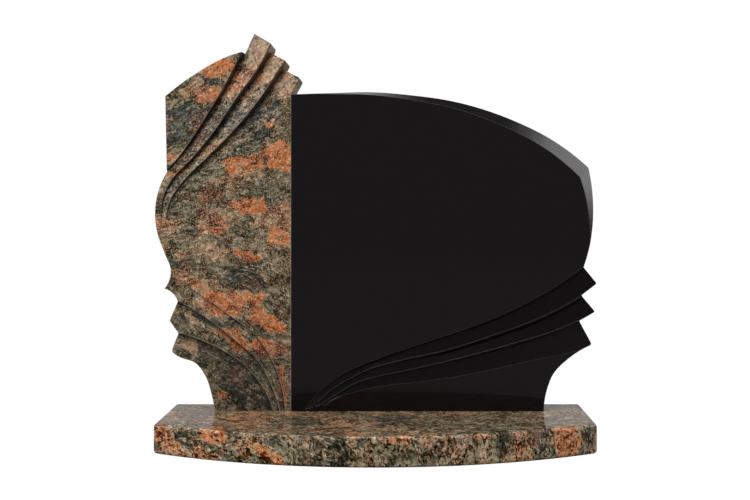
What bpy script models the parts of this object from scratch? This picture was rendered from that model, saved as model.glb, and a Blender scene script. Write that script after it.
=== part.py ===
"""A granite headstone: a carved side stele and a polished slab, side by side on a bowed base.

Metres, +Z up. The front faces -Y. The origin is on the ground under the middle of the whole.
Each upright is drawn from its foot at the joint between the two: x runs along its width and
z up its height, both in thousandths of its own size.
"""

import math

import bmesh
import bpy
import numpy as np
from mathutils import Vector
from mathutils.geometry import interpolate_bezier

# The two uprights
SLAB_WIDTH = 0.879
SLAB_HEIGHT = 0.918
STELE_WIDTH = 0.391
STONE_THICKNESS = 0.120
SEAM = 0.0003            # the bedding under each upright and the joint between them

# The stele's lowest stepped end reaches over the slab's left shoulder.
SHOULDER_CLEARANCE = 0.0015
SLAB_SHOULDER = 992
STELE_SHOULDER = 838

# The base
BASE_THICKNESS = 0.081
BASE_BOW = 0.165         # how far the front runs out beyond its two corners
BASE_FRONT_LEDGE = 0.180 # from the line of the two front corners to the uprights
BASE_BACK_LEDGE = 0.005
BASE_LEFT_LEDGE = 0.137
BASE_RIGHT_LEDGE = 0.122
BASE_ARRIS = 0.009

# How the carving is cut
WALL_DRAFT = 0.30        # how far a ribbon's wall leans out for each metre of its depth
CREST_LIFT = 0.0008      # a ribbon's crest runs out just in front of the face
CUT_CLEARANCE = 0.005    # how far a cutter stands out of the stone
CUT_OVERRUN = 0.060      # how far a cutter runs on past the ribbons' ends

# How finely curves are drawn
CURVE_STEPS = 8
CORNER_STEPS = 4
FAN_STATIONS = 56
BEVEL_STATIONS = 24
BOW_STEPS = 48
ARRIS_STEPS = 4
ARRIS_ANGLE = math.radians(40)   # the base's edges that turn more are rounded
FLAT_ANGLE = math.radians(0.1)   # faces that turn less are one face

# Each stretch of an outline is the rounding of the corner it starts from, in metres, and its
# knots. It ends where the next one starts. Two knots in all make it straight.
STELE_OUTLINE = [
    (0, [(-559, 0), (-584, 45), (-633, 96), (-705, 128), (-812, 142)]),
    (0.010, [(-880, 156), (-860, 181)]),
    (0, [(-830, 208)]),
    (0.004, [(-895, 239)]),
    (0, [(-835, 293), (-876, 314)]),
    (0.002, [(-931, 324), (-896, 345), (-884, 372), (-926, 415), (-981, 469), (-1000, 530),
             (-972, 587)]),
    (0, [(-913, 633)]),
    (0, [(-924, 832), (-686, 895), (-475, 936)]),
    (0.006, [(-356, 950)]),
    (0, [(-345, 946)]),
    (0.002, [(-276, 1000)]),
    (0.006, [(-142, 970)]),
    (0, [(-164, 950)]),
    (0.006, [(-35, 925)]),
    (0, [(-64, 905)]),
    (0.006, [(64, 881)]),
    (0, [(0, STELE_SHOULDER)]),
    (0, [(0, 0)]),
]
SLAB_CORNER = (979, 764)
SLAB_SIDE_END = (957, 453)
SLAB_ARCH = (0, [(0, SLAB_SHOULDER), (144, 997), (248, 1000), (400, 990), (520, 974),
                 (738, 909), (857, 852)])
SLAB_SIDE = (0.003, [SLAB_CORNER, (991, 639), (985, 563)])
SLAB_OUTLINE = [
    (0, [(0, 0)]),
    SLAB_ARCH,
    SLAB_SIDE,
    (0, [SLAB_SIDE_END]),
    (0.006, [(1000, 400)]),
    (0, [(950, 364)]),
    (0.006, [(994, 312)]),
    (0, [(944, 284)]),
    (0.008, [(984, 209), (904, 163), (856, 115), (839, 76)]),
    (0, [(826, 0)]),
]

# Each ribbon starts at a wall: its knots run from the ribbons' ends to their tails, and its
# depths are those at the ends, halfway and at the tail. Below zero it no longer cuts.
STELE_TOP_WALLS = [
    ([(-311, 1000), (-370, 946), (-472, 872), (-658, 760), (-827, 671), (-935, 627),
      (-992, 589), (-1015, 530), (-993, 463)], (0.026, 0.013, -0.001)),
    ([(-152, 970), (-252, 902), (-381, 838), (-578, 734), (-733, 666), (-879, 610),
      (-948, 554), (-958, 513), (-938, 463)], (0.026, 0.016, -0.001)),
    ([(-45, 925), (-92, 902), (-194, 844), (-409, 747), (-605, 675), (-798, 605),
      (-890, 554), (-921, 507), (-918, 457)], (0.026, 0.016, -0.001)),
]
STELE_TOP_MERGE = [(83, 890), (10, 842), (-71, 792), (-262, 716), (-483, 644), (-711, 579),
                   (-828, 523), (-880, 473), (-894, 439)]
STELE_FOOT_WALLS = [
    ([(-965, 378), (-740, 326), (-472, 259), (-232, 189), (-150, 141), (-75, 74), (-45, -10)],
     (-0.003, 0.006, 0.006)),
    ([(-835, 293), (-608, 243), (-398, 184), (-248, 136), (-172, 90), (-78, -10)],
     (0.018, 0.011, 0.005)),
    ([(-830, 208), (-600, 178), (-360, 127), (-209, 64), (-120, -10)], (0.020, 0.012, 0.005)),
]
STELE_FOOT_MERGE = [(-902, 146), (-740, 130), (-556, 96), (-409, 57), (-290, -10)]
SLAB_WALLS = [
    ([(957, 453), (892, 408), (748, 328), (637, 281), (415, 208), (284, 164), (167, 114),
      (97, 65), (46, 8)], (0.020, 0.013, 0.003)),
    ([(952, 361), (846, 305), (650, 233), (520, 193), (330, 152), (258, 132), (206, 108),
      (134, 67), (80, 17)], (0.020, 0.013, 0.003)),
    ([(944, 285), (846, 246), (748, 217), (585, 174), (467, 146), (350, 121), (265, 104),
      (206, 85), (150, 53), (101, 22)], (0.022, 0.015, 0.003)),
]
SLAB_MERGE = [(994, 205), (915, 185), (781, 158), (650, 130), (552, 111), (415, 92), (294, 79),
              (212, 62), (147, 40), (112, 19)]

# The slab's bevel: its width on the face where the arch and the side start and end, and its
# depth where they meet. Below zero it no longer cuts.
BEVEL_DEPTH = 0.036
BEVEL_ARCH_WIDTHS = (-0.0028, 0.0412)
BEVEL_SIDE_WIDTHS = (0.0382, -0.0116)

# Sizes that follow
STELE_HEIGHT = (SLAB_HEIGHT * SLAB_SHOULDER / 1000 + SHOULDER_CLEARANCE) / (STELE_SHOULDER / 1000)
STELE_FOOT = -STELE_OUTLINE[0][1][0][0] / 1000 * STELE_WIDTH
SLAB_FOOT = SLAB_OUTLINE[-1][1][0][0] / 1000 * SLAB_WIDTH
BASE_END_DEPTH = BASE_FRONT_LEDGE + STONE_THICKNESS + BASE_BACK_LEDGE

# Places
JOINT_X = (STELE_WIDTH - SLAB_WIDTH) / 2
BACK_Y = (BASE_END_DEPTH + BASE_BOW) / 2
STONE_BACK_Y = BACK_Y - BASE_BACK_LEDGE
FACE_Y = STONE_BACK_Y - STONE_THICKNESS
BASE_CORNER_Y = BACK_Y - BASE_END_DEPTH
BASE_LEFT_X = JOINT_X - STELE_FOOT - BASE_LEFT_LEDGE
BASE_RIGHT_X = JOINT_X + SLAB_FOOT + BASE_RIGHT_LEDGE
FOOT_Z = BASE_THICKNESS + SEAM


def material(name, color, roughness):
    """A stone's material."""
    made = bpy.data.materials.new(name)
    made.use_nodes = True
    shader = made.node_tree.nodes["Principled BSDF"]
    shader.inputs["Base Color"].default_value = (*color, 1)
    shader.inputs["Roughness"].default_value = roughness
    shader.inputs["Metallic"].default_value = 0
    return made


def end_tangent(chord, tangent):
    """The direction at a curve's end that makes its last span a circular arc."""
    return 2 * chord.dot(tangent) * chord - tangent


def smooth_curve(knots, steps):
    """The points of a curve through 2D knots, which bends like an arc between them."""
    if len(knots) == 2:
        return list(knots)
    chords = [(b - a).normalized() for a, b in zip(knots, knots[1:])]
    lengths = [(b - a).length for a, b in zip(knots, knots[1:])]
    tangents = [
        (chords[i] * lengths[i + 1] + chords[i + 1] * lengths[i]).normalized()
        for i in range(len(chords) - 1)
    ]
    tangents.insert(0, end_tangent(chords[0], tangents[0]))
    tangents.append(end_tangent(chords[-1], tangents[-1]))
    points = []
    for i, length in enumerate(lengths):
        reach = length / 3
        handles = (knots[i] + tangents[i] * reach, knots[i + 1] - tangents[i + 1] * reach)
        points += interpolate_bezier(knots[i], *handles, knots[i + 1], steps + 1)[:-1]
    return points + [knots[-1]]


def stone_points(knots, width, height):
    """Knots in thousandths of a stone's width and height, as 2D points in metres."""
    return [Vector((x * width / 1000, z * height / 1000)) for x, z in knots]


def trimmed(points, distance):
    """A run of points that starts the given distance further along."""
    points = list(points)
    while len(points) > 2 and (points[1] - points[0]).length <= distance:
        distance -= (points[1] - points[0]).length
        points.pop(0)
    points[0] = points[0] + (points[1] - points[0]).normalized() * distance
    return points


def closed_outline(stretches, width, height):
    """The points of a stone's outline, with its corners rounded."""
    curves = []
    roundings = [rounding for rounding, _ in stretches]
    for i, (_, knots) in enumerate(stretches):
        following = stretches[(i + 1) % len(stretches)][1][0]
        curves.append(smooth_curve(stone_points(knots + [following], width, height), CURVE_STEPS))
    points = []
    for i, curve in enumerate(curves):
        corner = curve[0]
        kept = trimmed(curve, roundings[i]) if roundings[i] else curve
        next_rounding = roundings[(i + 1) % len(curves)]
        if next_rounding:
            kept = trimmed(kept[::-1], next_rounding)[::-1]
        if roundings[i]:
            rounded = interpolate_bezier(points[-1], (points[-1] + 2 * corner) / 3,
                                         (kept[0] + 2 * corner) / 3, kept[0], CORNER_STEPS + 1)
            points += rounded[1:-1]
        points += kept if next_rounding else kept[:-1]
    return points


def mesh_object(name, mesh, collection):
    """An object for a mesh, in a collection."""
    made = bpy.data.objects.new(name, mesh)
    collection.objects.link(made)
    return made


def flat_solid(name, points, thickness, collection, stone):
    """A closed solid of a flat outline, which lies in its own XY plane about z = 0."""
    curve = bpy.data.curves.new(name, "CURVE")
    curve.dimensions = "2D"
    curve.fill_mode = "BOTH"
    curve.extrude = thickness / 2
    spline = curve.splines.new("POLY")
    spline.points.add(len(points) - 1)
    for target, point in zip(spline.points, points):
        target.co = (point.x, point.y, 0, 1)
    spline.use_cyclic_u = True
    drawn = mesh_object(name + "_drawn", curve, collection)
    depsgraph = bpy.context.evaluated_depsgraph_get()
    mesh = bpy.data.meshes.new_from_object(drawn.evaluated_get(depsgraph))
    bpy.data.objects.remove(drawn)
    shell = bmesh.new()
    shell.from_mesh(mesh)
    bmesh.ops.remove_doubles(shell, verts=shell.verts, dist=0.00001)
    bmesh.ops.dissolve_limit(shell, angle_limit=FLAT_ANGLE, verts=shell.verts, edges=shell.edges)
    shell.to_mesh(mesh)
    shell.free()
    mesh.name = name
    mesh.materials.clear()
    mesh.materials.append(stone)
    return mesh_object(name, mesh, collection)


def even_stations(points, count):
    """Points evenly spaced along a run of points."""
    steps = [0] + [(b - a).length for a, b in zip(points, points[1:])]
    along = np.cumsum(steps)
    wanted = np.linspace(0, along[-1], count)
    across = np.interp(wanted, along, [p.x for p in points])
    up = np.interp(wanted, along, [p.y for p in points])
    return [Vector(pair) for pair in zip(across, up)]


def carved_line(knots, width, height, count):
    """Stations along a carved line, which is run on past the ribbons' ends."""
    curve = smooth_curve(stone_points(knots, width, height), CURVE_STEPS)
    outward = (curve[0] - curve[1]).normalized()
    return even_stations([curve[0] + outward * CUT_OVERRUN] + curve, count)


def depth_at(depths, share):
    """A wall's depth, on the parabola through its three depths."""
    start, middle, end = depths
    return (start * (1 - share) * (1 - 2 * share) + middle * 4 * share * (1 - share)
            + end * share * (2 * share - 1))


def lofted_cutter(name, sections, collection):
    """A closed solid through sections of as many corners each, which is hidden."""
    shell = bmesh.new()
    rings = [[shell.verts.new(corner) for corner in section] for section in sections]
    for ring, following in zip(rings, rings[1:]):
        for i in range(len(ring)):
            j = (i + 1) % len(ring)
            shell.faces.new((ring[i], ring[j], following[j], following[i]))
    shell.faces.new(rings[0])
    shell.faces.new(rings[-1])
    bmesh.ops.recalc_face_normals(shell, faces=shell.faces)
    mesh = bpy.data.meshes.new(name)
    shell.to_mesh(mesh)
    shell.free()
    made = mesh_object(name, mesh, collection)
    made.display_type = "WIRE"
    made.hide_render = True
    return made


def fan_sections(walls, merge, width, height):
    """The sections of a fan of ribbons: under each wall the stone starts deep, and it rises
    to the crest at the next wall. Depth is counted back from the face, along +Z."""
    lines = [carved_line(knots, width, height, FAN_STATIONS) for knots, _ in walls]
    lines.append(carved_line(merge, width, height, FAN_STATIONS))
    sections = []
    for station in range(FAN_STATIONS):
        share = station / (FAN_STATIONS - 1)
        row = [line[station] for line in lines]
        section = []
        for i, (_, depths) in enumerate(walls):
            across = (row[i + 1] - row[i]).normalized()
            lift = CREST_LIFT if i else CUT_CLEARANCE
            depth = max(depth_at(depths, share), -CREST_LIFT / 2)
            crest = row[i] - across * WALL_DRAFT * lift
            bottom = row[i] + across * WALL_DRAFT * depth
            section += [(crest.x, crest.y, lift), (bottom.x, bottom.y, -depth)]
        slope = max(depth, CREST_LIFT) / (row[-1] - bottom).length
        last = row[-1] + across * CREST_LIFT / slope
        section += [(last.x, last.y, CREST_LIFT), (last.x, last.y, CUT_CLEARANCE)]
        sections.append(section)
    return sections


def bevel_sections(knots, widths, width, height):
    """The sections of a bevel along a stretch of the outline. It is run on past the end where
    it is still wide, and clears the face past the place where it runs out."""
    curve = smooth_curve(stone_points(knots, width, height), CURVE_STEPS)
    points = even_stations(curve, BEVEL_STATIONS)
    tangents = [(b - a).normalized() for a, b in zip(points, points[1:])]
    tangents.append(tangents[-1])
    bevels = list(np.maximum(np.linspace(*widths, BEVEL_STATIONS), -CUT_CLEARANCE))
    if widths[0] > 0:
        points.insert(0, points[0] - tangents[0] * CUT_OVERRUN)
        tangents.insert(0, tangents[0])
        bevels.insert(0, bevels[0])
    if widths[-1] > 0:
        points.append(points[-1] + tangents[-1] * CUT_OVERRUN)
        tangents.append(tangents[-1])
        bevels.append(bevels[-1])
    slope = BEVEL_DEPTH / max(widths)
    sections = []
    for point, tangent, bevel in zip(points, tangents, bevels):
        outward = Vector((-tangent.y, tangent.x))
        front = point - outward * (bevel + CUT_CLEARANCE / slope)
        side = point + outward * CUT_CLEARANCE
        depth = slope * (bevel + CUT_CLEARANCE)
        sections.append([
            (front.x, front.y, CUT_CLEARANCE),
            (side.x, side.y, -depth),
            (side.x, side.y, CUT_CLEARANCE),
        ])
    return sections


def stand_up(stone, cutters):
    """Turns an upright and its cutters from their drawing plane onto the base."""
    stone.rotation_euler = (math.radians(90), 0, 0)
    stone.location = (JOINT_X, FACE_Y + STONE_THICKNESS / 2, FOOT_Z)
    for cutter in cutters:
        cutter.rotation_euler = stone.rotation_euler
        cutter.location = (JOINT_X, FACE_Y, FOOT_Z)
        cut = stone.modifiers.new(cutter.name, "BOOLEAN")
        cut.operation = "DIFFERENCE"
        cut.object = cutter


def base(collection, stone):
    """The bowed base."""
    half = (BASE_RIGHT_X - BASE_LEFT_X) / 2
    radius = (half ** 2 + BASE_BOW ** 2) / (2 * BASE_BOW)
    sweep = math.asin(half / radius)
    middle = Vector(((BASE_LEFT_X + BASE_RIGHT_X) / 2, BASE_CORNER_Y - BASE_BOW + radius))
    points = [Vector((BASE_RIGHT_X, BACK_Y)), Vector((BASE_LEFT_X, BACK_Y))]
    for step in range(BOW_STEPS + 1):
        angle = sweep * (2 * step / BOW_STEPS - 1)
        points.append(middle + radius * Vector((math.sin(angle), -math.cos(angle))))
    made = flat_solid("base", points, BASE_THICKNESS, collection, stone)
    made.location.z = BASE_THICKNESS / 2
    arris = made.modifiers.new("arris", "BEVEL")
    arris.width = BASE_ARRIS
    arris.segments = ARRIS_STEPS
    arris.limit_method = "ANGLE"
    arris.angle_limit = ARRIS_ANGLE
    return made


def side_stele(collection, cutters, stone):
    """The carved stele to the left of the joint."""
    points = closed_outline(STELE_OUTLINE, STELE_WIDTH, STELE_HEIGHT)
    made = flat_solid("side_stele", points, STONE_THICKNESS, collection, stone)
    top = fan_sections(STELE_TOP_WALLS, STELE_TOP_MERGE, STELE_WIDTH, STELE_HEIGHT)
    foot = fan_sections(STELE_FOOT_WALLS, STELE_FOOT_MERGE, STELE_WIDTH, STELE_HEIGHT)
    stand_up(made, [
        lofted_cutter("top_ribbons", top, cutters),
        lofted_cutter("foot_ribbons", foot, cutters),
    ])
    return made


def main_slab(collection, cutters, stone):
    """The polished slab to the right of the joint."""
    points = closed_outline(SLAB_OUTLINE, SLAB_WIDTH, SLAB_HEIGHT)
    made = flat_solid("main_slab", points, STONE_THICKNESS, collection, stone)
    fan = fan_sections(SLAB_WALLS, SLAB_MERGE, SLAB_WIDTH, SLAB_HEIGHT)
    arch_knots = SLAB_ARCH[1] + [SLAB_CORNER]
    side_knots = SLAB_SIDE[1] + [SLAB_SIDE_END]
    arch = bevel_sections(arch_knots, BEVEL_ARCH_WIDTHS, SLAB_WIDTH, SLAB_HEIGHT)
    side = bevel_sections(side_knots, BEVEL_SIDE_WIDTHS, SLAB_WIDTH, SLAB_HEIGHT)
    stand_up(made, [
        lofted_cutter("slab_ribbons", fan, cutters),
        lofted_cutter("arch_bevel", arch, cutters),
        lofted_cutter("side_bevel", side, cutters),
    ])
    made.location.x += SEAM
    return made


def new_collection(name):
    """A collection in the scene."""
    made = bpy.data.collections.new(name)
    bpy.context.scene.collection.children.link(made)
    return made


def main():
    for old in list(bpy.data.objects):
        bpy.data.objects.remove(old)
    parts = new_collection("granite_headstone")
    cutters = new_collection("cutters")
    gneiss = material("gneiss", (0.20, 0.14, 0.10), 0.15)
    black_granite = material("black_granite", (0.010, 0.009, 0.009), 0.08)
    base(parts, gneiss)
    side_stele(parts, cutters, gneiss)
    main_slab(parts, cutters, black_granite)


main()
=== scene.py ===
"""A granite headstone: polished gneiss base and carved stele, polished black slab.

Metres, +Z up, the faces look along -Y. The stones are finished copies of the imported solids.
"""

import math

import bmesh
import bpy
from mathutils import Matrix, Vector

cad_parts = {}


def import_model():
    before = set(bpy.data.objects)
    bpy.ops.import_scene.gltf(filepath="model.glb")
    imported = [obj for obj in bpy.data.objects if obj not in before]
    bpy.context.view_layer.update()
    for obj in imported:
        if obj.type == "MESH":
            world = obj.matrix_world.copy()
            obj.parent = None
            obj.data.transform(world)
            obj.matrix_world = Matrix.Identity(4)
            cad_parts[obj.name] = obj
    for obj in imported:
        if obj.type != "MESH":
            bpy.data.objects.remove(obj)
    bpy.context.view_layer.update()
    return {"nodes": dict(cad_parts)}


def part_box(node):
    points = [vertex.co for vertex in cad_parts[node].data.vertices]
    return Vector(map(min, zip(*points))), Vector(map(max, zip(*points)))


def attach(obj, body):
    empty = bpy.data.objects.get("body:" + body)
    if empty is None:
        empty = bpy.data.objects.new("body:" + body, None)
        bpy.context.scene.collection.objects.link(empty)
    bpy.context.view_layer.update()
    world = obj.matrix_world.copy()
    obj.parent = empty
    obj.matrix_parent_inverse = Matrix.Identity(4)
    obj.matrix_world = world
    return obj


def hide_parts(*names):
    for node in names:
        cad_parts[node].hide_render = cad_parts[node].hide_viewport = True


# Ranges of four numbers below are those of a Map Range node: from low, from high, to low, to high

# Stone cutting
WELD = 0.00002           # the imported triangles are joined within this
SLIVER = 0.0002          # shorter edges than this are tidied away
LEVEL = 0.99999          # a face whose normal is this far along Y looks straight forward or back
FLAT_ANGLE = math.radians(0.2)      # faces that turn less are one face
CREASE_ANGLE = math.radians(1.5)    # an edge of such a face that turns more stays crisp
SMOOTH_ANGLE = math.radians(28)     # and so does any edge that turns more than this

# The finish of the stones, with a painted highlight on the arrises and painted shade in hollows
# and on cut walls
EASING = 0.002           # how far an arris is eased
STELE_EASING = 0.003
EDGE_SAMPLES = 4
ARRIS_TURN = (0.998, 0.965, 0.0, 1.0)    # where easing turns the face enough to be an arris
CONVEX = (0.1, 0.5, 1.0, 0.0)            # and where that isn't in a hollow
HOLLOW_REACH = 0.018     # how far the painted shade in a hollow edge reaches
HOLLOW_OPEN = (0.58, 0.93, 1.0, 0.0)     # how open to the sky a place is that counts as hollow
PAINTED_HOLLOW_SHADE = 0.24      # how dark the painted shade in a hollow edge is against the polished face
SMUDGE_SCALE = 9.0
SWELL_SCALE = 5.0
SWELL_HEIGHT = 0.01
HONED = 0.42             # how much rougher the stele's sides and its ribbons' walls are
PAINTED_WALL_SHADE = 0.30        # how dark the painted shade on the cut walls is against the polished face
STELE_ARRIS_HIGHLIGHT = ("C0AE94", 0.62)           # the colour of the painted highlight on the arrises, and how much shows
BASE_ARRIS_HIGHLIGHT = ("B8A890", 0.20)
SLAB_ARRIS_HIGHLIGHT = ("7A7474", 0.45)

# The camera, as the photograph was taken
CAMERA_PLACE = (0.0692, -3.072, 0.680)
CAMERA_LENS = 53.16
CAMERA_SENSOR = 36
CAMERA_SHIFT = (-25 / 750, -47 / 750)

# The gneiss' tone: dark at 0, beige at 0.4 and orange from 0.7 on. Three patterns change it, of
# which two are stretched along the bands
TONE = 0.40
ZONE_STRETCH = (2.8, 4.0, 11.0)
ZONE_SHARE = 1.25
STREAK_STRETCH = (12, 16, 46)
STREAK_SHARE = 0.85
BLOTCH_SCALE = 45.0
BLOTCH_SHARE = 0.35

# The patches laid over it: how their edges fray and fade, their tones, and how much these
# change within a patch
FRAYING = 1.4            # the blotches' share in the edges, where the streaks' is 1
DARK_EDGE = (0.20, 0.65, 0.0, 0.9)
PALE_EDGE = (0.20, 0.70, 0.0, 1.0)
ORANGE_EDGE = (0.32, 0.66, 0.0, 1.0)
DARK_TONE = 0.07
DARK_CHANGE = 0.7
PALE_TONE = 0.50
PALE_CHANGE = 0.5
ORANGE_TONE = 0.80
BASE_ORANGE_TONE = 0.66
ORANGE_CHANGE = 0.5

# Thin pale folds
WISP_STRETCH = (9, 14, 34)
WISP_RIDGE = (0.0, 0.05, 0.42, 0.0)      # the change of tone, by the distance from the fold
WISP_TONES = (0.12, 0.36, 1.0, 0.0)      # only in the dark bands

# The gneiss' colours, in display values
DISPLAY_GAMMA = 2.2
DARKEST = (0.05, 0.05, 0.04)
TONE_COLORS = [
    (0.00, "33342D"), (0.10, "47463C"), (0.22, "676250"), (0.34, "8B7F68"),
    (0.46, "A48B70"), (0.58, "B28968"), (0.72, "BC815A"), (0.90, "C27648"),
]
COOL_COLOR = "4B5254"
COOL_TONES = (0.16, 0.40, 1.0, 0.0)
BLUSH_COLOR = "A87C6A"
BLUSH_SCALE = 15.0
BLUSH_EDGE = (0.52, 0.68, 0.0, 0.5)
MOSS_COLOR = "76745A"
MOSS_SCALE = 13.0
MOSS_EDGE = (0.55, 0.68, 0.0, 0.5)
MOSS_TONES = (0.50, 0.72, 1.0, 0.0)

# The grains
GRAIN_FOLD = (20.0, 0.04)                # the scale of a noise and how far it moves them
MICA_SCALE = 290.0
FLAKE_STRETCH = (75, 95, 250)
MICA_LIMIT = 0.490                       # mica lies where its pattern is below this
MICA_EDGE = (-0.025, 0.025, 1.0, 0.0)
MICA_LIGHT = (0.05, 0.45, -0.17, -0.40)  # how much darker it is, by tone
BEIGE_TONE = 0.38                        # mica is most crowded where the stone is beige
AWAY_FROM_BEIGE = -0.10                  # how the limit changes as the tone leaves that
IN_PALE = -0.13                          # and how in the pale patches
CROWD_SCALE = 30.0
CROWDING = 0.34                          # and how from place to place
CRYSTAL_SCALE = 175.0
CRYSTAL_LIGHT = (0.0, 1.0, -0.10, 0.10)
GLEAM = (0.84, 0.90, 0.0, 0.10)
GRIT_SCALE = 110.0
GRIT_SHARE = 0.50
THREAD_STRETCH = (34, 44, 120)
THREAD_SHARE = 0.45
GRAIN_TONES = (0.05, 0.35, 0.72, 1.0)    # all grains are fainter in the dark bands

# The veins and patches
VEIN_FADE = (0.55, 1.35, 1.0, 0.0)       # in half sizes from the middle
VEIN_DEPTH = 0.16        # how far back into the stele its veins reach

# How the bands run. A fold is the scale of a noise and how far it moves them.
STELE_FOLDS = [(7.0, 0.05), (45.0, 0.016)]
STELE_SLOPE = (0.42, 0.80, -0.45, 0.42)  # by height: falling to the right below, rising above
STELE_MIDDLE_X = -0.40
STELE_FLAKES = 0.35
STELE_COOL = (0.80, 0.92, 0.0, 0.6)      # the head's dark places are bluish
PAINTED_FOOT_SHADE = (0.10, 0.55, 0.58, 1.0)     # painted shade: the stele's gneiss is darker from its foot up to here
SIDE_FACING = (0.34, 0.50, 1.0, 0.0)     # what doesn't look forward is a side or a cut wall
WALL_FACING = (0.10, 0.20, 0.0, 1.0)     # and a wall looks forward a little, for its draft
BASE_FOLDS = [(7.0, 0.05), (45.0, 0.014)]
BASE_LEAN = (-0.25, 0.10, 0.60, 0.0)     # by x: leaning to the left, upright on the right
BASE_TURN = (0.86, 0.50)                 # on the base's top, as a cosine and a sine
BASE_FLAKES = 0.7
BASE_GLOSS = 0.34
BASE_MIRRORED = 0.4      # how bright the base is where another stone mirrors it

# The black granite
GRAIN_SCALE = 620.0
GRAIN_COLORS = [(0.0, "040101"), (0.75, "070203"), (1.0, "0E0708")]

# Patches in the stele: x, z, half length, half height, tilt in degrees, strength
STELE_ORANGE = [
    (-0.445, 1.060, 0.055, 0.030, 20, 0.8),
    (-0.395, 1.040, 0.026, 0.012, 62, 0.4),
    (-0.300, 1.000, 0.022, 0.010, 40, 0.4),
    (-0.470, 0.690, 0.040, 0.016, 20, 0.5),
    (-0.480, 0.985, 0.037, 0.018, 0, 0.9),
    (-0.285, 0.820, 0.045, 0.043, 10, 1.0),
    (-0.380, 0.795, 0.080, 0.025, 18, 0.7),
    (-0.360, 0.670, 0.050, 0.027, 0, 1.0),
    (-0.445, 0.605, 0.030, 0.024, 30, 0.8),
    (-0.285, 0.575, 0.033, 0.024, 0, 0.8),
    (-0.365, 0.525, 0.045, 0.022, -10, 0.6),
    (-0.440, 0.390, 0.055, 0.032, -20, 1.0),
    (-0.380, 0.410, 0.050, 0.020, -5, 0.8),
    (-0.320, 0.345, 0.070, 0.026, -25, 0.9),
    (-0.405, 0.282, 0.055, 0.026, -32, 1.1),
    (-0.310, 0.270, 0.050, 0.025, -10, 0.9),
    (-0.264, 0.150, 0.014, 0.060, 0, 0.7),
    (-0.450, 0.120, 0.020, 0.012, -10, 0.7),
    (-0.300, 0.910, 0.017, 0.010, 20, 0.8),
    (-0.595, 0.930, 0.020, 0.009, -15, 0.5),
    (-0.585, 0.820, 0.016, 0.010, 0, 0.5),
    (-0.550, 0.430, 0.040, 0.030, -30, 0.35),
]
STELE_DARK = [
    (-0.535, 0.905, 0.080, 0.070, -10, 1.0),
    (-0.350, 0.920, 0.090, 0.045, 30, 0.9),
    (-0.470, 1.028, 0.040, 0.012, -15, 0.8),
    (-0.370, 0.470, 0.065, 0.026, -5, 0.8),
    (-0.440, 0.338, 0.065, 0.015, -12, 0.9),
    (-0.500, 0.245, 0.090, 0.045, -22, 0.8),
    (-0.400, 0.190, 0.090, 0.060, -30, 0.85),
    (-0.375, 0.115, 0.090, 0.040, -10, 0.9),
    (-0.340, 0.215, 0.045, 0.025, -45, 0.7),
    (-0.597, 0.735, 0.022, 0.018, 30, 0.8),
    (-0.545, 0.595, 0.035, 0.030, 0, 0.6),
    (-0.580, 0.660, 0.020, 0.040, 0, 0.5),
    (-0.375, 0.600, 0.040, 0.022, 0, 0.60),
    (-0.520, 0.868, 0.045, 0.040, 0, 0.9),
    (-0.445, 0.345, 0.030, 0.014, -20, 0.8),
]
STELE_PALE = [
    (-0.336, 1.117, 0.065, 0.026, 60, 1.0),
    (-0.304, 1.065, 0.040, 0.022, 60, 0.7),
    (-0.255, 1.010, 0.030, 0.030, 50, 0.7),
    (-0.459, 0.539, 0.035, 0.028, 0, 0.45),
    (-0.534, 0.270, 0.020, 0.036, 10, 1.0),
    (-0.545, 0.350, 0.045, 0.020, -20, 0.35),
    (-0.445, 1.060, 0.050, 0.028, 20, 0.5),
    (-0.480, 0.985, 0.037, 0.018, 0, 0.7),
    (-0.285, 0.820, 0.045, 0.043, 10, 0.4),
    (-0.560, 0.975, 0.045, 0.020, 35, 0.5),
]
# The same in the base: x, y, z, half sizes in x, y and z, tilt in degrees, strength
BASE_ORANGE = [
    (-0.560, -0.090, 0.047, 0.056, 0.060, 0.026, -52, 1.1),
    (-0.430, -0.150, 0.066, 0.045, 0.050, 0.026, -15, 1.1),
    (-0.294, -0.200, 0.034, 0.056, 0.050, 0.014, -30, 1.0),
    (-0.356, -0.190, 0.033, 0.034, 0.050, 0.008, -35, 0.6),
    (0.070, -0.235, 0.075, 0.036, 0.030, 0.015, -20, 0.8),
    (0.283, -0.215, 0.078, 0.028, 0.020, 0.010, 0, 0.7),
    (0.398, -0.180, 0.055, 0.010, 0.030, 0.036, 8, 0.6),
    (0.516, -0.130, 0.050, 0.046, 0.050, 0.060, 4, 1.2),
    (-0.390, 0.015, 0.081, 0.028, 0.060, 0.020, 0, 0.8),
    (-0.085, -0.100, 0.081, 0.042, 0.030, 0.015, 0, 0.8),
    (-0.160, 0.070, 0.081, 0.030, 0.015, 0.015, 0, 0.6),
    (-0.570, -0.020, 0.081, 0.030, 0.060, 0.020, 0, 0.5),
]
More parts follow.
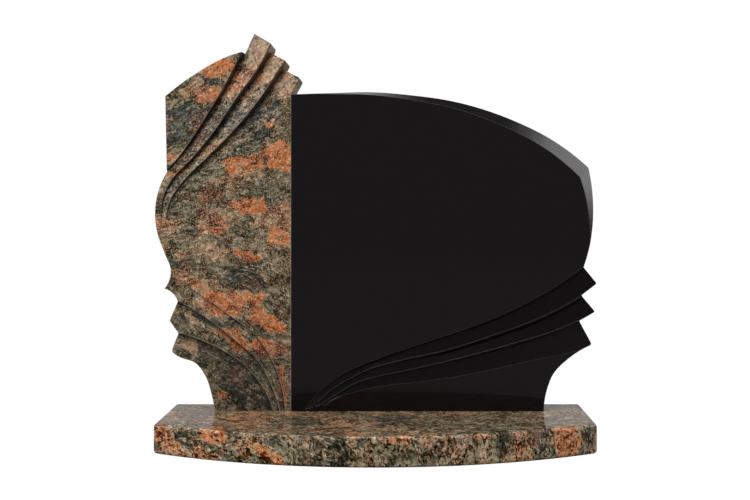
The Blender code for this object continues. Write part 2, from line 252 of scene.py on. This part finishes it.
BASE_DARK = [
    (-0.515, -0.120, 0.053, 0.050, 0.060, 0.018, -50, 0.8),
    (-0.410, -0.170, 0.022, 0.060, 0.050, 0.012, -20, 0.7),
    (-0.585, -0.080, 0.015, 0.016, 0.040, 0.018, 0, 0.8),
    (-0.265, -0.210, 0.062, 0.028, 0.030, 0.016, 0, 0.6),
    (-0.130, -0.230, 0.050, 0.067, 0.050, 0.044, 0, 1.0),
    (0.120, -0.235, 0.030, 0.060, 0.040, 0.020, 0, 0.5),
    (-0.030, -0.235, 0.058, 0.018, 0.030, 0.022, 0, 0.6),
    (0.352, -0.200, 0.055, 0.022, 0.050, 0.042, 5, 0.9),
    (0.440, -0.170, 0.055, 0.024, 0.050, 0.042, 0, 0.7),
    (0.580, -0.080, 0.045, 0.018, 0.060, 0.050, 0, 0.8),
    (0.174, -0.230, 0.050, 0.016, 0.030, 0.024, 0, 0.6),
    (0.050, 0.000, 0.081, 0.060, 0.075, 0.030, 0, 0.9),
    (-0.215, -0.060, 0.081, 0.095, 0.085, 0.025, 0, 0.65),
    (0.345, -0.030, 0.081, 0.050, 0.040, 0.030, 0, 0.5),
    (-0.500, 0.080, 0.081, 0.050, 0.050, 0.030, 0, 0.8),
]

# The studio's light on the stones and what their polish mirrors: the plain sky by height, and
# the soft patches over it, each a direction, inner and outer angle in degrees, and radiance
SKY_LIT = (-0.2, 1.0, 0.10, 0.70)
LIGHTS = [
    ((-0.50, -0.62, 0.60), 8, 54, 2.50),
    ((0.90, -0.05, 0.42), 15, 50, 1.10),
]
SKY_MIRRORED = (0.25, 0.80, 0.35, 1.20)
MIRRORED = [
    ((0.24, -0.94, 0.24), 36, 60, 0.21),
    ((-0.30, -0.83, 0.47), 12, 22, 0.12),
    ((0.00, 1.00, 0.10), 40, 70, 0.40),
    ((0.00, 0.00, 1.00), 2, 18, 4.20),
    ((0.36, 0.00, 0.93), 10, 21, 0.22),
    ((0.85, 0.03, 0.52), 10, 32, 2.90),
]

# The floor
FLOOR_RADIUS = 9.0
FLOOR_CORNERS = 96
FLOOR_Z = -0.0005
FLOOR_COLOR = (0.22, 0.22, 0.22, 1)
FLOOR_ROUGHNESS = 0.9
FLOOR_WHITE = 1.03       # what the camera sees of it
FLOOR_HIDDEN = 0.97      # how much of its shading that covers
FLOOR_MIRRORED = (0.35, 0.9, 0.02, 0.23)     # what the polish mirrors, by distance


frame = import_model()
FACE_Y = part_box("main_slab")[0].y


# Meshes

def is_level(face):
    """Whether a face looks straight forward or back."""
    return abs(face.normal.y) > LEVEL


def is_crease(edge):
    """Whether an edge divides a flat face from one that leaves it at a shallow angle."""
    level = [is_level(face) for face in edge.link_faces]
    return level[0] != level[1] and edge.calc_face_angle(0) > CREASE_ANGLE


def finished_stone(node):
    """A smooth polished copy of a packed stone, whose creases stay crisp."""
    piece = bpy.data.objects.new("polished_" + node, frame["nodes"][node].data.copy())
    bpy.context.scene.collection.objects.link(piece)
    bpy.ops.object.select_all(action="DESELECT")
    piece.select_set(True)
    bpy.context.view_layer.objects.active = piece
    bpy.ops.mesh.customdata_custom_splitnormals_clear()
    bpy.ops.object.mode_set(mode="EDIT")
    bpy.ops.mesh.select_mode(type="VERT")
    bpy.ops.mesh.select_all(action="SELECT")
    bpy.ops.mesh.remove_doubles(threshold=WELD)
    bpy.ops.mesh.dissolve_degenerate(threshold=SLIVER)
    bpy.ops.mesh.dissolve_limited(angle_limit=FLAT_ANGLE)
    shell = bmesh.from_edit_mesh(piece.data)
    for edge in shell.edges:
        edge.smooth = not is_crease(edge)
    bmesh.update_edit_mesh(piece.data)
    bpy.ops.object.mode_set(mode="OBJECT")
    bpy.ops.object.shade_smooth_by_angle(angle=SMOOTH_ANGLE, keep_sharp_edges=True)
    weighted = piece.modifiers.new("weighted_normals", "WEIGHTED_NORMAL")
    weighted.keep_sharp = True
    weighted.weight = 100
    bpy.ops.object.modifier_apply(modifier=weighted.name)
    return piece


# Colours

def display(tint):
    """A colour given as sRGB hex digits, in display values."""
    return (*[int(tint[i:i + 2], 16) / 255 for i in (0, 2, 4)], 1)


def linear(tint):
    """A colour given as sRGB hex digits, as the shaders want it."""
    parts = display(tint)[:3]
    return (*[c / 12.92 if c <= 0.04045 else ((c + 0.055) / 1.055) ** 2.4 for c in parts], 1)


# Shader nodes

def set_input(tree, socket, value):
    """Sets an input to a value, or links a socket to it."""
    if isinstance(value, bpy.types.NodeSocket):
        tree.links.new(value, socket)
    else:
        socket.default_value = value


def add_node(tree, kind, inputs=None, **settings):
    """A shader node with its inputs, which are values or sockets, and its settings."""
    made = tree.nodes.new(kind)
    for name, value in settings.items():
        setattr(made, name, value)
    for name, value in (inputs or {}).items():
        set_input(tree, made.inputs[name], value)
    return made


def calculate(tree, operation, first, second=0.0, third=0.0):
    """The output of a Math node."""
    inputs = {0: first, 1: second, 2: third}
    return add_node(tree, "ShaderNodeMath", inputs, operation=operation).outputs[0]


def vector_math(tree, operation, inputs, output="Vector"):
    """An output of a Vector Math node."""
    return add_node(tree, "ShaderNodeVectorMath", inputs, operation=operation).outputs[output]


def map_range(tree, value, low, high, to_low, to_high, smooth=False):
    """The output of a Map Range node."""
    kind = "SMOOTHSTEP" if smooth else "LINEAR"
    inputs = {"Value": value, "From Min": low, "From Max": high,
              "To Min": to_low, "To Max": to_high}
    return add_node(tree, "ShaderNodeMapRange", inputs, interpolation_type=kind).outputs[0]


def separated(tree, vector):
    """The three parts of a vector."""
    return add_node(tree, "ShaderNodeSeparateXYZ", {0: vector}).outputs


def combined(tree, x, y, z):
    """A vector of three parts."""
    return add_node(tree, "ShaderNodeCombineXYZ", {0: x, 1: y, 2: z}).outputs[0]


def scaled(tree, vector, share):
    """A vector or colour times a share."""
    return vector_math(tree, "SCALE", {0: vector, "Scale": share})


def stretched(tree, place, scale):
    """A place scaled along its three axes."""
    return vector_math(tree, "MULTIPLY", {0: place, 1: scale})


def noise(tree, place, scale, detail=2.0, roughness=0.5, distortion=0.0):
    """A Noise Texture node."""
    inputs = {"Vector": place, "Scale": scale, "Detail": detail, "Roughness": roughness,
              "Distortion": distortion}
    return add_node(tree, "ShaderNodeTexNoise", inputs)


def noise_value(tree, place, scale, detail=2.0, roughness=0.5, distortion=0.0):
    """A Noise Texture's value, from 0 to 1."""
    return noise(tree, place, scale, detail, roughness, distortion).outputs["Fac"]


def centred_noise(tree, place, scale, detail=2.0, roughness=0.5, distortion=0.0):
    """A Noise Texture's value, around 0."""
    value = noise_value(tree, place, scale, detail, roughness, distortion)
    return calculate(tree, "SUBTRACT", value, 0.5)


def warped(tree, place, scale, amount):
    """A place moved about by noise."""
    swirl = noise(tree, place, scale).outputs["Color"]
    centred = vector_math(tree, "SUBTRACT", {0: swirl, 1: (0.5, 0.5, 0.5)})
    return vector_math(tree, "ADD", {0: place, 1: scaled(tree, centred, amount)})


def folded(tree, place, folds):
    """A place moved about by several noises."""
    for scale, amount in folds:
        place = warped(tree, place, scale, amount)
    return place


def mixed_value(tree, share, first, second):
    """The first value where the share is 0, the second where it is 1."""
    change = calculate(tree, "SUBTRACT", second, first)
    return calculate(tree, "MULTIPLY_ADD", change, share, first)


def blend(tree, share, first, second):
    """The first colour where the share is 0, the second where it is 1."""
    mixer = add_node(tree, "ShaderNodeMix", {0: share}, data_type="RGBA")
    set_input(tree, mixer.inputs[6], first)
    set_input(tree, mixer.inputs[7], second)
    return mixer.outputs[2]


def color_ramp(tree, value, stops, read):
    """The colour output of a Color Ramp node. The stops are a place and sRGB hex digits, which
    are read as display values or as linear ones."""
    made = add_node(tree, "ShaderNodeValToRGB", {"Fac": value})
    ramp = made.color_ramp
    while len(ramp.elements) < len(stops):
        ramp.elements.new(0.5)
    for element, (place, tint) in zip(ramp.elements, stops):
        element.position = place
        element.color = read(tint)
    return made.outputs["Color"]


# Shader node groups

def new_group(name, inputs, outputs):
    """A shader node group with its sockets, and its input and output nodes."""
    tree = bpy.data.node_groups.new(name, "ShaderNodeTree")
    for label, kind, value in inputs:
        socket = tree.interface.new_socket(label, in_out="INPUT", socket_type=kind)
        if value is not None:
            socket.default_value = value
    for label, kind in outputs:
        tree.interface.new_socket(label, in_out="OUTPUT", socket_type=kind)
    return tree, tree.nodes.new("NodeGroupInput").outputs, tree.nodes.new("NodeGroupOutput")


def use_group(tree, group, inputs):
    """A group's outputs, in a tree."""
    made = tree.nodes.new("ShaderNodeGroup")
    made.node_tree = group
    for name, value in inputs.items():
        set_input(tree, made.inputs[name], value)
    return made.outputs


def vein_group():
    """Where one vein lies: its strength in its middle, fading to 0. Others are kept."""
    tree, given, out = new_group("vein", [
        ("Place", "NodeSocketVector", None),
        ("Centre", "NodeSocketVector", None),
        ("Half Size", "NodeSocketVector", None),
        ("Turn", "NodeSocketVector", None),
        ("Strength", "NodeSocketFloat", 1.0),
        ("Others", "NodeSocketFloat", 0.0),
    ], [("Mask", "NodeSocketFloat")])
    inside = add_node(tree, "ShaderNodeMapping", {
        "Vector": given["Place"], "Location": given["Centre"], "Rotation": given["Turn"],
        "Scale": given["Half Size"]}, vector_type="TEXTURE").outputs[0]
    reach = vector_math(tree, "LENGTH", {0: inside}, "Value")
    near = map_range(tree, reach, *VEIN_FADE, smooth=True)
    strong = calculate(tree, "MULTIPLY", near, given["Strength"])
    tree.links.new(calculate(tree, "MAXIMUM", strong, given["Others"]), out.inputs["Mask"])
    return tree


def gneiss_tone(tree, given):
    """How dark, beige or orange the gneiss is, and where it is pale."""
    bands = given["Bands"]
    zone = centred_noise(tree, stretched(tree, bands, ZONE_STRETCH), 1.0, 3.0, 0.55, 0.6)
    streak = centred_noise(tree, stretched(tree, bands, STREAK_STRETCH), 1.0, 1.5, 0.6, 0.9)
    blotch = centred_noise(tree, given["Place"], BLOTCH_SCALE, 2.0, 0.6)
    tone = calculate(tree, "MULTIPLY_ADD", zone, ZONE_SHARE, TONE)
    tone = calculate(tree, "MULTIPLY_ADD", streak, STREAK_SHARE, tone)
    tone = calculate(tree, "MULTIPLY_ADD", blotch, BLOTCH_SHARE, tone)

    # The placed patches
    ragged = calculate(tree, "MULTIPLY_ADD", blotch, FRAYING, streak)
    dark, pale, orange = [
        map_range(tree, calculate(tree, "ADD", given[mask], ragged), *edge, smooth=True)
        for mask, edge in (("Dark", DARK_EDGE), ("Pale", PALE_EDGE), ("Orange", ORANGE_EDGE))
    ]
    dark_tone = calculate(tree, "MULTIPLY_ADD", streak, DARK_CHANGE, DARK_TONE)
    tone = mixed_value(tree, dark, tone, dark_tone)
    pale_tone = calculate(tree, "MULTIPLY_ADD", streak, PALE_CHANGE, PALE_TONE)
    tone = mixed_value(tree, pale, tone, pale_tone)
    orange_tone = calculate(tree, "MULTIPLY_ADD", ragged, ORANGE_CHANGE, given["Orange Tone"])
    tone = mixed_value(tree, orange, tone, orange_tone)

    # Thin pale folds in the dark bands
    wisp = centred_noise(tree, stretched(tree, bands, WISP_STRETCH), 1.0, 3.0, 0.6, 1.4)
    ridge = map_range(tree, calculate(tree, "ABSOLUTE", wisp), *WISP_RIDGE, smooth=True)
    in_dark = map_range(tree, tone, *WISP_TONES)
    return calculate(tree, "MULTIPLY_ADD", ridge, in_dark, tone), pale


def gneiss_hue(tree, given, tone):
    """The colour of a tone, in places bluer, pinker or mossier."""
    hue = color_ramp(tree, tone, TONE_COLORS, display)
    in_dark = map_range(tree, tone, *COOL_TONES)
    cool = calculate(tree, "MULTIPLY", given["Cool"], in_dark)
    hue = blend(tree, cool, hue, display(COOL_COLOR))
    blush = noise_value(tree, given["Place"], BLUSH_SCALE, 2.0, 0.6)
    blush = map_range(tree, blush, *BLUSH_EDGE, smooth=True)
    hue = blend(tree, blush, hue, display(BLUSH_COLOR))
    moss = noise_value(tree, warped(tree, given["Place"], *GRAIN_FOLD), MOSS_SCALE, 2.0, 0.6)
    moss = map_range(tree, moss, *MOSS_EDGE, smooth=True)
    moss = calculate(tree, "MULTIPLY", moss, map_range(tree, tone, *MOSS_TONES))
    return blend(tree, moss, hue, display(MOSS_COLOR))


def gneiss_grains(tree, given, tone, pale):
    """How much lighter or darker the grains make a place."""
    place = given["Place"]
    bands = given["Bands"]

    # Dark mica, in grains or flakes, crowded or sparse
    mica = noise_value(tree, place, MICA_SCALE, 2.0, 0.6)
    flake = noise_value(tree, stretched(tree, bands, FLAKE_STRETCH), 1.0, 3.0, 0.6)
    mica = mixed_value(tree, given["Flakes"], mica, flake)
    from_beige = calculate(tree, "ABSOLUTE", calculate(tree, "SUBTRACT", tone, BEIGE_TONE))
    limit = calculate(tree, "MULTIPLY_ADD", from_beige, AWAY_FROM_BEIGE, MICA_LIMIT)
    crowding = centred_noise(tree, warped(tree, place, *GRAIN_FOLD), CROWD_SCALE)
    limit = calculate(tree, "MULTIPLY_ADD", crowding, CROWDING, limit)
    limit = calculate(tree, "MULTIPLY_ADD", pale, IN_PALE, limit)
    covered = map_range(tree, calculate(tree, "SUBTRACT", mica, limit), *MICA_EDGE)
    light = calculate(tree, "MULTIPLY", covered, map_range(tree, tone, *MICA_LIGHT))

    # Crystals that differ a little, and a few that gleam
    crystals = add_node(tree, "ShaderNodeTexVoronoi", {"Vector": place, "Scale": CRYSTAL_SCALE})
    cell = add_node(tree, "ShaderNodeSeparateColor", {0: crystals.outputs["Color"]}).outputs
    light = calculate(tree, "ADD", light, map_range(tree, cell[1], *CRYSTAL_LIGHT))
    light = calculate(tree, "ADD", light, map_range(tree, cell[2], *GLEAM))

    # Grit, and threads along the bands
    grit = centred_noise(tree, place, GRIT_SCALE, 4.0, 0.7)
    light = calculate(tree, "MULTIPLY_ADD", grit, GRIT_SHARE, light)
    thread = centred_noise(tree, stretched(tree, bands, THREAD_STRETCH), 1.0, 3.0, 0.6, 0.8)
    light = calculate(tree, "MULTIPLY_ADD", thread, THREAD_SHARE, light)
    return calculate(tree, "MULTIPLY", light, map_range(tree, tone, *GRAIN_TONES))


def gneiss_group():
    """The colour of polished gneiss: folded bands of orange, beige and dark green grains.

    It is mixed in display values. Bands and patches set the hue, and the grains only how light
    a place is, as in the stone. The last node turns the mix into a linear colour.
    """
    tree, given, out = new_group("gneiss", [
        ("Place", "NodeSocketVector", None),
        ("Bands", "NodeSocketVector", None),
        ("Orange", "NodeSocketFloat", 0.0),
        ("Dark", "NodeSocketFloat", 0.0),
        ("Pale", "NodeSocketFloat", 0.0),
        ("Cool", "NodeSocketFloat", 0.0),
        ("Flakes", "NodeSocketFloat", 0.0),
        ("Orange Tone", "NodeSocketFloat", ORANGE_TONE),
    ], [("Color", "NodeSocketColor")])
    tone, pale = gneiss_tone(tree, given)
    hue = gneiss_hue(tree, given, tone)
    light = gneiss_grains(tree, given, tone, pale)
    mixed = vector_math(tree, "ADD", {0: hue, 1: combined(tree, light, light, light)})
    mixed = vector_math(tree, "MAXIMUM", {0: mixed, 1: DARKEST})
    shown = add_node(tree, "ShaderNodeGamma", {"Color": mixed, "Gamma": DISPLAY_GAMMA})
    tree.links.new(shown.outputs[0], out.inputs["Color"])
    return tree


def polish_group():
    """The finish of a polished stone: eased arrises, and a gloss and flatness not quite even.

    It also says where the arrises and the hollow edges are, where a painted highlight and a
    painted shade go.
    """
    tree, given, out = new_group("polish", [
        ("Place", "NodeSocketVector", None),
        ("Roughness", "NodeSocketFloat", 0.0),
        ("Unevenness", "NodeSocketFloat", 0.0),
        ("Waviness", "NodeSocketFloat", 0.0),
        ("Side", "NodeSocketFloat", 0.0),
        ("Easing", "NodeSocketFloat", EASING),
    ], [("Roughness", "NodeSocketFloat"), ("Normal", "NodeSocketVector"),
        ("Arris Highlight", "NodeSocketFloat"), ("Hollow", "NodeSocketFloat")])
    smudge = centred_noise(tree, given["Place"], SMUDGE_SCALE, 4.0, 0.6)
    rough = calculate(tree, "MULTIPLY_ADD", smudge, given["Unevenness"], given["Roughness"])
    rough = calculate(tree, "MULTIPLY_ADD", given["Side"], HONED, rough)
    tree.links.new(rough, out.inputs["Roughness"])

    eased = add_node(tree, "ShaderNodeBevel", {"Radius": given["Easing"]},
                     samples=EDGE_SAMPLES).outputs["Normal"]
    swell = noise_value(tree, given["Place"], SWELL_SCALE, 1.0)
    bump = add_node(tree, "ShaderNodeBump", {
        "Height": swell, "Strength": given["Waviness"], "Distance": SWELL_HEIGHT,
        "Normal": eased})
    tree.links.new(bump.outputs["Normal"], out.inputs["Normal"])

    open_sky = add_node(tree, "ShaderNodeAmbientOcclusion", {"Distance": HOLLOW_REACH},
                        samples=EDGE_SAMPLES, only_local=True).outputs["AO"]
    hollow = map_range(tree, open_sky, *HOLLOW_OPEN, smooth=True)
    tree.links.new(hollow, out.inputs["Hollow"])
    flat = tree.nodes.new("ShaderNodeNewGeometry").outputs["Normal"]
    turned = vector_math(tree, "DOT_PRODUCT", {0: eased, 1: flat}, "Value")
    arris_highlight = map_range(tree, turned, *ARRIS_TURN)
    convex = map_range(tree, hollow, *CONVEX)
    tree.links.new(calculate(tree, "MULTIPLY", arris_highlight, convex), out.inputs["Arris Highlight"])
    return tree


# Materials

def new_material(name):
    """A material, its tree, its shader and its Object coordinates."""
    made = bpy.data.materials.new(name)
    made.use_nodes = True
    tree = made.node_tree
    place = tree.nodes.new("ShaderNodeTexCoord").outputs["Object"]
    return made, tree, tree.nodes["Principled BSDF"], place


def vein_mask(tree, group, place, veins):
    """The mask of a list of veins: centre, half size, tilt in degrees and strength."""
    mask = 0.0
    for centre, half_size, tilt, strength in veins:
        mask = use_group(tree, group, {
            "Place": place, "Centre": centre, "Half Size": half_size,
            "Turn": (0, -math.radians(tilt), 0), "Strength": strength, "Others": mask,
        })["Mask"]
    return mask


def stele_veins(rows):
    """The stele's veins, which run straight back from its face."""
    return [((x, FACE_Y, z), (a, VEIN_DEPTH, b), tilt, strength)
            for x, z, a, b, tilt, strength in rows]


def base_veins(rows):
    """The base's veins."""
    return [((x, y, z), (a, b, c), tilt, strength) for x, y, z, a, b, c, tilt, strength in rows]


def finish_stone(tree, shader, place, polish, color, arris_highlight, **finish):
    """Links a stone's colour and polish to its shader, with painted shade in its hollow edges and
    a painted highlight on its arrises.
    """
    highlight_color, highlight_share = arris_highlight
    polished = use_group(tree, polish, {"Place": place, **finish})
    share = calculate(tree, "MULTIPLY", polished["Arris Highlight"], highlight_share)
    # Painted shade in the hollow edges, then a painted highlight on the convex arrises
    kept = map_range(tree, polished["Hollow"], 0.0, 1.0, 1.0, PAINTED_HOLLOW_SHADE)
    color = blend(tree, share, scaled(tree, color, kept), linear(highlight_color))
    tree.links.new(color, shader.inputs["Base Color"])
    tree.links.new(polished["Roughness"], shader.inputs["Roughness"])
    tree.links.new(polished["Normal"], shader.inputs["Normal"])


def stele_gneiss(vein, gneiss, polish):
    """The stele's gneiss: its bands rise to the right above and fall to the right below."""
    made, tree, shader, place = new_material("stele_gneiss")
    moved = folded(tree, place, STELE_FOLDS)
    x, y, z = separated(tree, moved)
    slope = map_range(tree, z, *STELE_SLOPE)
    from_middle = calculate(tree, "SUBTRACT", x, STELE_MIDDLE_X)
    across = calculate(tree, "SUBTRACT", z, calculate(tree, "MULTIPLY", slope, from_middle))
    color = use_group(tree, gneiss, {
        "Place": place, "Bands": combined(tree, x, y, across),
        "Orange": vein_mask(tree, vein, moved, stele_veins(STELE_ORANGE)),
        "Dark": vein_mask(tree, vein, moved, stele_veins(STELE_DARK)),
        "Pale": vein_mask(tree, vein, moved, stele_veins(STELE_PALE)),
        "Cool": map_range(tree, z, *STELE_COOL),
        "Flakes": STELE_FLAKES,
    })["Color"]

    # The sides are honed, and the ribbons' cut walls get a painted shade
    normal = tree.nodes.new("ShaderNodeTexCoord").outputs["Normal"]
    forward = calculate(tree, "ABSOLUTE", separated(tree, normal)[1])
    side = map_range(tree, forward, *SIDE_FACING)
    shaded_wall = calculate(tree, "MULTIPLY", side, map_range(tree, forward, *WALL_FACING))
    kept = map_range(tree, shaded_wall, 0.0, 1.0, 1.0, PAINTED_WALL_SHADE)
    # Painted shade: the stele is darker towards its foot, where less light falls
    kept = calculate(tree, "MULTIPLY", kept, map_range(tree, z, *PAINTED_FOOT_SHADE, smooth=True))
    finish_stone(tree, shader, place, polish, scaled(tree, color, kept), STELE_ARRIS_HIGHLIGHT,
                 Roughness=0.10, Unevenness=0.06, Waviness=0.02, Side=side,
                 Easing=STELE_EASING)
    return made


def base_gneiss(vein, gneiss, polish):
    """The base's gneiss: its bands stand upright on the right and lean over to the left."""
    made, tree, shader, place = new_material("base_gneiss")
    moved = folded(tree, place, BASE_FOLDS)
    x, y, z = separated(tree, moved)
    cosine, sine = BASE_TURN
    lean = map_range(tree, x, *BASE_LEAN)
    across = calculate(tree, "MULTIPLY_ADD", y, cosine, calculate(tree, "MULTIPLY", x, sine))
    across = calculate(tree, "MULTIPLY_ADD", z, lean, across)
    along = calculate(tree, "MULTIPLY_ADD", y, -sine, calculate(tree, "MULTIPLY", x, cosine))
    color = use_group(tree, gneiss, {
        "Place": place, "Bands": combined(tree, along, z, across),
        "Orange": vein_mask(tree, vein, moved, base_veins(BASE_ORANGE)),
        "Dark": vein_mask(tree, vein, moved, base_veins(BASE_DARK)),
        "Flakes": BASE_FLAKES, "Orange Tone": BASE_ORANGE_TONE,
    })["Color"]
    shader.inputs["Specular IOR Level"].default_value = BASE_GLOSS
    ray = tree.nodes.new("ShaderNodeLightPath").outputs
    kept = map_range(tree, ray["Is Glossy Ray"], 0.0, 1.0, 1.0, BASE_MIRRORED)
    finish_stone(tree, shader, place, polish, scaled(tree, color, kept), BASE_ARRIS_HIGHLIGHT,
                 Roughness=0.09, Unevenness=0.05, Waviness=0.02)
    return made


def black_granite(polish):
    """Polished black granite with a very fine grain."""
    made, tree, shader, place = new_material("polished_black_granite")
    grains = add_node(tree, "ShaderNodeTexVoronoi", {"Vector": place, "Scale": GRAIN_SCALE})
    cell = add_node(tree, "ShaderNodeSeparateColor", {0: grains.outputs["Color"]}).outputs
    color = color_ramp(tree, cell[0], GRAIN_COLORS, linear)
    finish_stone(tree, shader, place, polish, color, SLAB_ARRIS_HIGHLIGHT,
                 Roughness=0.06, Unevenness=0.02, Waviness=0.012)
    return made


def dress(node, material):
    """Puts a finished stone with its material in a packed stone's place."""
    piece = finished_stone(node)
    piece.data.materials.clear()
    piece.data.materials.append(material)
    for face in piece.data.polygons:
        face.material_index = 0
    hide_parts(node)
    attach(piece, "root")


# The studio

def floor():
    """A plain pale floor, which the camera sees as white. What it mirrors back is dim."""
    bpy.ops.object.select_all(action="DESELECT")
    bpy.ops.mesh.primitive_circle_add(vertices=FLOOR_CORNERS, radius=FLOOR_RADIUS,
                                      fill_type="NGON", location=(0, 0, FLOOR_Z))
    made = bpy.context.active_object
    made.name = "floor"
    surface, tree, shader, place = new_material("pale_floor")
    shader.inputs["Base Color"].default_value = FLOOR_COLOR
    shader.inputs["Roughness"].default_value = FLOOR_ROUGHNESS
    shader.inputs["Specular IOR Level"].default_value = 0.0
    ray = tree.nodes.new("ShaderNodeLightPath").outputs
    away = vector_math(tree, "LENGTH", {0: place}, "Value")
    mirrored = map_range(tree, away, *FLOOR_MIRRORED, smooth=True)
    dim = add_node(tree, "ShaderNodeEmission", {"Strength": mirrored}).outputs[0]
    white = add_node(tree, "ShaderNodeEmission", {"Strength": FLOOR_WHITE}).outputs[0]
    plain = add_node(tree, "ShaderNodeMixShader", {
        0: ray["Is Glossy Ray"], 1: shader.outputs[0], 2: dim}).outputs[0]
    share = calculate(tree, "MULTIPLY", ray["Is Camera Ray"], FLOOR_HIDDEN)
    mix = add_node(tree, "ShaderNodeMixShader", {0: share, 1: plain, 2: white}).outputs[0]
    tree.links.new(mix, tree.nodes["Material Output"].inputs["Surface"])
    made.data.materials.append(surface)


def glow(tree, direction, centre, inner, outer):
    """1 within an angle of a direction in the sky, fading to 0 at a wider one, in degrees."""
    toward = vector_math(tree, "DOT_PRODUCT",
                         {0: direction, 1: Vector(centre).normalized()}, "Value")
    low = math.cos(math.radians(outer))
    high = math.cos(math.radians(inner))
    return map_range(tree, toward, low, high, 0.0, 1.0, smooth=True)


def patched(tree, direction, light, patches):
    """A sky's light with soft patches laid over it."""
    for centre, inner, outer, radiance in patches:
        share = glow(tree, direction, centre, inner, outer)
        kept = calculate(tree, "MULTIPLY", light, calculate(tree, "SUBTRACT", 1.0, share))
        light = calculate(tree, "MULTIPLY_ADD", share, radiance, kept)
    return light


def world():
    """A soft studio, white to the camera. What lights the stones and what their polish mirrors
    are set apart, as a photographer sets lamps and screens."""
    made = bpy.data.worlds.new("studio")
    bpy.context.scene.world = made
    made.use_nodes = True
    tree = made.node_tree
    background = tree.nodes["Background"]
    direction = tree.nodes.new("ShaderNodeTexCoord").outputs["Generated"]
    height = separated(tree, direction)[2]
    lit = patched(tree, direction, map_range(tree, height, *SKY_LIT), LIGHTS)
    dim = map_range(tree, height, *SKY_MIRRORED, smooth=True)
    mirrored = patched(tree, direction, dim, MIRRORED)
    ray = tree.nodes.new("ShaderNodeLightPath").outputs
    light = mixed_value(tree, ray["Is Glossy Ray"], lit, mirrored)
    hidden = calculate(tree, "SUBTRACT", 1.0, ray["Is Camera Ray"])
    strength = calculate(tree, "MULTIPLY_ADD", light, hidden, ray["Is Camera Ray"])
    background.inputs["Color"].default_value = (1, 1, 1, 1)
    tree.links.new(strength, background.inputs["Strength"])


def camera():
    """The camera, level and square to the stones, with its frame shifted."""
    data = bpy.data.cameras.new("camera")
    data.sensor_width = CAMERA_SENSOR
    data.lens = CAMERA_LENS
    data.shift_x, data.shift_y = CAMERA_SHIFT
    made = bpy.data.objects.new("camera", data)
    made.location = CAMERA_PLACE
    made.rotation_euler = (math.radians(90), 0, 0)
    bpy.context.scene.collection.objects.link(made)
    bpy.context.scene.camera = made


# The headstone

vein = vein_group()
gneiss = gneiss_group()
polish = polish_group()
dress("base", base_gneiss(vein, gneiss, polish))
dress("side_stele", stele_gneiss(vein, gneiss, polish))
dress("main_slab", black_granite(polish))

camera()
floor()
world()
bpy.context.scene.view_settings.view_transform = "Standard"
bpy.context.scene.view_settings.look = "None"
